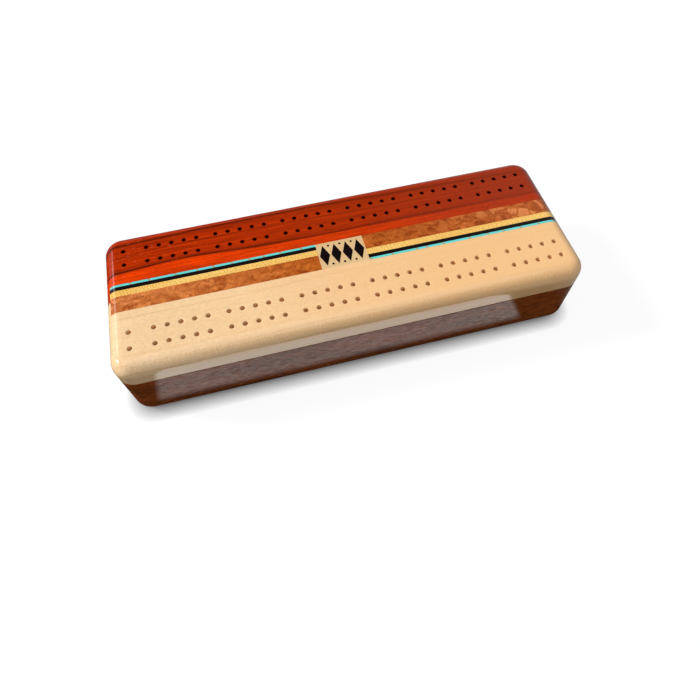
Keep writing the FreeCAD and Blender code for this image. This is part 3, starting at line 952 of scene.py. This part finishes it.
# Warm yellow, cool grey and soft red.
BRASS = TurnedMetal("turned_brass", "#E2BE78", "#C29A52")
STEEL = TurnedMetal("turned_stainless_steel", "#CBCBC9", "#A9AAAB")
COPPER = TurnedMetal("turned_copper", "#E09A74", "#B8694A")
# Steel blackened in a hot salt bath, dark and softly glossy.
BLACK_OXIDE = TurnedMetal("black_oxide_steel", "#2C2C31", "#1B1B1E", roughness=0.34)
# Bright plating, the smoothest of the metals.
NICKEL = TurnedMetal("nickel_plated_magnet", "#CFCDC6", "#B9B6AE", roughness=0.16, ring_mm=0.9)


def dress(material: bpy.types.Material, *nodes: str) -> None:
    """Give CAD nodes a finish.

    Args:
        material: The finish.
        *nodes: The nodes' names.
    """
    for name in nodes:
        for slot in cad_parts[name].material_slots:
            slot.material = material
        LOG.info("%s: %s", name, material.name)


@dataclass
class PlayingBoard:
    """The two glued halves of the playing board, with their rows of peg holes."""

    padauk: str = "board_padauk"
    maple: str = "board_maple"

    def dress(self) -> None:
        """Finish each half in its own wood."""
        dress(PADAUK.material(), self.padauk)
        dress(MAPLE.material(), self.maple)


@dataclass
class InlayBand:
    """The strips let into the board on either side of the tile, and the tile's dark figures."""

    sides: tuple[str, ...] = ("left", "right")
    figures: tuple[str, ...] = ("tile_lozenges", "tile_dots")

    def dress(self) -> None:
        """Finish the strips, the tile and its figures."""
        finishes = {"turquoise": TURQUOISE, "black": BLACKWOOD, "satinwood": SATINWOOD, "burl": BURL}
        for strip, finish in finishes.items():
            material = finish.material()
            dress(material, *(f"inlay_{strip}_{side}" for side in self.sides))
            if finish is BLACKWOOD:
                dress(material, *self.figures)
        dress(TILE_MAPLE.material(), "tile")


@dataclass
class WalnutBase:
    """The walnut case under the board, with the catch magnets in its closed end."""

    along: tuple[str, ...] = ("rail_front", "rail_back", "base_floor")
    across: tuple[str, ...] = ("end_block", "drawer_front", "peg_rack")
    magnets: tuple[str, ...] = ("base_magnets", "drawer_magnets")

    def dress(self) -> None:
        """Finish the walnut, the drawer's own included, and the magnets."""
        dress(WALNUT.material(), *self.along)
        dress(WALNUT_ACROSS.material(), *self.across)
        dress(NICKEL.material(), *self.magnets)


@dataclass
class CardDrawer:
    """The drawer, its dividers and plywood bottom, and the felt laid in its two card bays."""

    along: tuple[str, ...] = ("drawer_side_front", "drawer_side_back")
    across: tuple[str, ...] = ("drawer_back", "divider_front", "divider_rear")
    felts: tuple[str, ...] = ("card_felt_front", "card_felt_rear")
    rim_mm: tuple[float, ...] = (0.0, 0.08, 0.22, 0.45, 0.8, 1.4)
    cell_mm: float = 3.0
    edge_round_mm: float = 0.6
    edge_wobble_mm: float = 0.35
    edge_wobble_size_mm: float = 9.0
    edge_wobble_seed: int = 5
    swell_mm: float = 0.16
    swell_size_mm: float = 22.0
    swell_seed: float = 7.0

    def dress(self) -> None:
        """Finish the drawer's paler wood."""
        dress(DRAWER_WOOD.material(), *self.along)
        dress(DRAWER_WOOD_ACROSS.material(), *self.across)
        dress(BIRCH_PLY.material(), "drawer_bottom")

    def rulings(self, low: float, high: float) -> list[float]:
        """Where the grid of a felt has its lines along one axis.

        Args:
            low: Where the felt starts, in millimetres.
            high: Where it ends.

        Returns:
            The lines' places, close together at the rims where the edge rounds over.
        """
        start, end = low + self.rim_mm[-1], high - self.rim_mm[-1]
        cells = round((end - start) / self.cell_mm)
        middle = [start + (end - start) * index / cells for index in range(1, cells)]
        near, far = ([low + rim for rim in self.rim_mm], [high - rim for rim in self.rim_mm[::-1]])
        return near + middle + far

    def felt_point(self, x: float, y: float, low: Vector, high: Vector) -> tuple[float, float, float]:
        """Where a point of the grid lies on the felt's upper side.

        Args:
            x: Its place along the box, in millimetres.
            y: Its place across the box.
            low: The lowest corner of the felt's space.
            high: The highest corner.

        Returns:
            The point, pulled in where the cut wanders, rounded at the rim and gently swelled.
        """
        inset = min(x - low.x, high.x - x, y - low.y, high.y - y)
        pull = max(0.0, 1.0 - inset / (2 * self.rim_mm[-1])) * self.edge_wobble_mm
        stray = noise.noise_vector(Vector((x, y, low.x)) / self.edge_wobble_size_mm)
        middle = (low + high) / 2
        x_in = x + pull * math.copysign(stray.x, middle.x - x)
        y_in = y + pull * math.copysign(stray.y, middle.y - y)
        fall = max(0.0, 1.0 - inset / self.edge_round_mm)
        rounding = 0.5 * (high.z - low.z) * (1.0 - math.sqrt(1.0 - fall * fall))
        swell = 0.5 - noise.noise(Vector((x, y, self.swell_seed)) / self.swell_size_mm)
        return x_in, y_in, high.z - rounding - self.swell_mm * max(0.0, swell)

    def felt_mesh(self, low: Vector, high: Vector) -> bpy.types.Mesh:
        """Make a sheet with a rounded cut edge, a hand-cut outline and a gentle swell.

        Args:
            low: The lowest corner of its space, in millimetres.
            high: The highest corner.

        Returns:
            The closed mesh, in metres.
        """
        across, up = self.rulings(low.x, high.x), self.rulings(low.y, high.y)
        columns, rows = len(across), len(up)
        total = columns * rows
        tops = [Vector(self.felt_point(x, y, low, high)) for y in up for x in across]
        bottoms = [Vector((top.x, top.y, low.z)) for top in tops]
        faces = []
        for row in range(rows - 1):
            for column in range(columns - 1):
                corner = row * columns + column
                quad = (corner, corner + 1, corner + columns + 1, corner + columns)
                faces.append(quad)
                faces.append(tuple(total + index for index in reversed(quad)))
        rim = list(range(columns))
        rim += [row * columns + columns - 1 for row in range(1, rows)]
        rim += [(rows - 1) * columns + column for column in reversed(range(columns - 1))]
        rim += [row * columns for row in reversed(range(1, rows - 1))]
        for start, end in zip(rim, rim[1:] + rim[:1]):
            faces.append((start, total + start, total + end, end))
        mesh = bpy.data.meshes.new("felt_sheet")
        mesh.from_pydata([point * MM for point in tops + bottoms], [], faces)
        mesh.shade_smooth()
        return mesh

    def line(self) -> None:
        """Lay a sheet of felt in each card bay, in the place of its plain solid."""
        material = FELT.material()
        # Without a seed, the noise vector starts from the clock.
        noise.seed_set(self.edge_wobble_seed)
        for node in self.felts:
            low, high = (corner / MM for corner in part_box(node))
            name = node.replace("card_felt", "felt_sheet")
            felt = add_object(name, self.felt_mesh(low, high))
            felt.data.materials.append(material)
            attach(felt, "drawer")
            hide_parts(node)


@dataclass
class Pegs:
    """The twelve turned pegs in their rack, three in each metal."""

    metals: tuple[tuple[str, TurnedMetal], ...] = (
        ("pegs_brass", BRASS),
        ("pegs_steel", STEEL),
        ("pegs_copper", COPPER),
        ("pegs_black", BLACK_OXIDE),
    )

    def dress(self) -> None:
        """Finish each set in its metal."""
        for node, metal in self.metals:
            dress(metal.material(), node)


@dataclass(frozen=True)
class Sun:
    """A broad soft lamp far away.

    Its share is what it adds to the light on a level surface, of which 1 renders a colour as it
    is written.
    """

    name: str
    share: float
    direction: tuple[float, float, float]
    breadth: float
    mirrored: bool = True

    def hang(self) -> None:
        """Add the lamp to the scene."""
        towards = Vector(self.direction).normalized()
        lamp = bpy.data.lights.new(self.name, "SUN")
        lamp.energy = self.share * math.pi / towards.z
        lamp.angle = math.radians(self.breadth)
        holder = add_object(self.name, lamp)
        holder.rotation_euler = towards.to_track_quat("Z", "Y").to_euler()
        holder.visible_glossy = self.mirrored


@dataclass
class Studio:
    """A white floor with a reflector card, a ceiling softbox, a window to the left and the camera.

    The card lies before the box, and only reflections show it: it lays a pale sheen on the front
    of the box. Beside it they show the floor dark, so that the lacquer keeps its depth, and
    lighter past right_floor_mm. floor_tone is the floor's own colour under the lamps, floor_paper
    the one that light bounces off, and floor_lift brings it to white for the camera, less a
    painted contact shadow that ambient occlusion lays round the box.
    """

    lamps: tuple[Sun, ...] = (
        Sun("ceiling_bounce", 0.24, (-0.05, -0.36, 1.0), 90.0, mirrored=False),
        Sun("ceiling_softbox", 0.17, (-0.05, -0.10, 1.0), 64.0),
        Sun("low_sunlight", 0.53, (-0.76, 0.34, 0.55), 12.0, mirrored=False),
        Sun("left_window", 0.05, (-0.80, 0.24, 0.55), 15.0),
        Sun("rear_window", 0.012, (-0.62, 0.58, 0.50), 14.0),
    )
    walls: Stops = ((0.0, "#A4A4A4"), (0.18, "#848484"), (0.42, "#383838"), (1.0, "#242424"))
    wall_span: tuple[float, float] = (0.4, -0.9)
    far_wall: float = 0.3
    right_glow_from: float = 0.2
    right_glow: float = 0.25
    floor_reach: float = 6.0
    floor_tone: str = "#5C5C5C"
    floor_paper: str = "#9C9C9C"
    floor_lift: float = 0.91
    contact_reach: float = 0.011
    contact_depth: float = 1.5
    card_middle_mm: tuple[float, float, float] = (-9.0, -103.5, 0.0)
    card_half_mm: tuple[float, float] = (135.0, 40.5)
    card_flare: float = 0.05
    card_blur_mm: float = 2.0
    card_glow: float = 1.45
    surround_glow: float = 0.02
    right_floor_mm: tuple[float, float] = (158.0, 190.0)
    right_floor_glow: float = 0.35
    camera_place: tuple[float, float, float] = (-0.05238, -0.22959, 0.33877)
    camera_turn: tuple[float, float, float] = (29.749, 0.323, -14.634)
    camera_lens: float = 27.79
    camera_nearest: float = 0.01

    def light(self) -> None:
        """Hang the lamps and paint the walls, which the camera sees as plain white."""
        for lamp in self.lamps:
            lamp.hang()
        world = bpy.data.worlds.new("studio_walls")
        world.use_nodes = True
        tree = world.node_tree
        tree.nodes.clear()
        bpy.context.scene.world = world
        direction = add_node(tree, "TexCoord", output="Generated")
        height = add_node(tree, "SeparateXYZ", {0: direction}, output="Z")
        rise = add_node(tree, "ValToRGB", {"Fac": height}, stops=self.walls)
        ahead = height.node.outputs["X"]
        far, near = self.wall_span
        sides = {"From Min": far, "From Max": near, "To Min": self.far_wall}
        side = add_node(tree, "MapRange", {"Value": ahead} | sides)
        tone = add_node(tree, "VectorMath", {0: rise, "Scale": side}, operation="SCALE")
        rises = {"From Min": self.right_glow_from, "To Max": self.right_glow}
        glow = add_node(tree, "MapRange", {"Value": ahead} | rises)
        lit = add_node(tree, "VectorMath", {0: tone, 1: glow}, operation="ADD")
        seen = add_node(tree, "LightPath", output="Is Camera Ray")
        shown = add_node(tree, "MixRGB", {"Fac": seen, "Color1": lit, "Color2": "#FFFFFF"})
        add_node(tree, "OutputWorld", {"Surface": add_node(tree, "Background", {"Color": shown})})

    def sheen(self, bench: Bench) -> Socket:
        """What reflections show of the floor: the card, and the darker ground round it.

        Args:
            bench: The floor's bench.

        Returns:
            The glow, as a shader.
        """
        middle = {0: bench.place, 1: self.card_middle_mm}
        offset = bench.add("VectorMath", middle, operation="SUBTRACT")
        ahead = bench.add("SeparateXYZ", {0: offset}, output="Y")
        spans = bench.add("VectorMath", {0: offset}, operation="ABSOLUTE")
        along = bench.add("SeparateXYZ", {0: spans}, output="X")
        flare = {0: ahead, 1: self.card_flare, 2: along}
        flared = bench.add("Math", flare, operation="MULTIPLY_ADD")
        card: Socket | float = 1.0
        blur = self.card_blur_mm
        for span, half in zip((flared, along.node.outputs["Y"]), self.card_half_mm):
            rim = {"From Min": half + blur, "From Max": half - blur, "To Max": card}
            card = bench.add("MapRange", {"Value": span} | rim)
        near, far = self.right_floor_mm
        glows = {"To Min": self.surround_glow, "To Max": self.right_floor_glow}
        ground = {"Value": bench.along, "From Min": near, "From Max": far} | glows
        around = bench.add("MapRange", ground)
        tones = {"Value": card, "To Min": around, "To Max": self.card_glow}
        return bench.add("Emission", {"Strength": bench.add("MapRange", tones)})

    def lay_floor(self) -> None:
        """Lay the floor, which stays white but keeps the box's shadow, with a painted contact shadow
        added.
        """
        bench = Bench("white_paper_floor")
        seen = bench.add("LightPath", output="Is Camera Ray")
        rays = seen.node.outputs
        shown = bench.add("Math", {0: seen, 1: rays["Is Transmission Ray"]}, operation="MAXIMUM")
        # Painted contact shadow: ambient occlusion darkens the floor's white glow near the box.
        open_sky = bench.add("AmbientOcclusion", {"Distance": self.contact_reach}, output="AO")
        contact = bench.add("Math", {0: open_sky, 1: self.contact_depth}, operation="POWER")
        lift = bench.add("Math", {0: contact, 1: self.floor_lift}, operation="MULTIPLY")
        strength = bench.add("Math", {0: lift, 1: shown}, operation="MULTIPLY")
        glow = bench.add("Emission", {"Color": "#FFFFFF", "Strength": strength})
        tone = bench.blend(self.floor_tone, self.floor_paper, rays["Is Diffuse Ray"])
        paper = bench.add("BsdfDiffuse", {"Color": tone})
        plain = bench.add("AddShader", {0: paper, 1: glow})
        sides = {0: rays["Is Glossy Ray"], 1: plain, 2: self.sheen(bench)}
        bench.add("OutputMaterial", {"Surface": bench.add("MixShader", sides)})
        mesh = bpy.data.meshes.new("studio_floor")
        reach = self.floor_reach
        corners = [(-reach, -reach), (reach, -reach), (reach, reach), (-reach, reach)]
        mesh.from_pydata([(*corner, 0.0) for corner in corners], [], [(0, 1, 2, 3)])
        mesh.materials.append(bench.material)
        add_object("studio_floor", mesh)

    def aim_camera(self) -> None:
        """Set up the camera and the plain view transform."""
        camera = bpy.data.cameras.new("camera")
        camera.lens = self.camera_lens
        camera.clip_start = self.camera_nearest
        holder = add_object("camera", camera)
        holder.location = self.camera_place
        holder.rotation_euler = Euler([math.radians(angle) for angle in self.camera_turn])
        bpy.context.scene.camera = holder
        bpy.context.scene.view_settings.view_transform = "Standard"


def main() -> None:
    """Build the studio, dress the box from the top down and report each piece."""
    logging.basicConfig(level=logging.INFO, format="%(message)s")
    studio = Studio()
    studio.aim_camera()
    PlayingBoard().dress()
    InlayBand().dress()
    WalnutBase().dress()
    drawer = CardDrawer()
    drawer.dress()
    drawer.line()
    Pegs().dress()
    studio.lay_floor()
    studio.light()


if __name__ == "__main__":
    main()
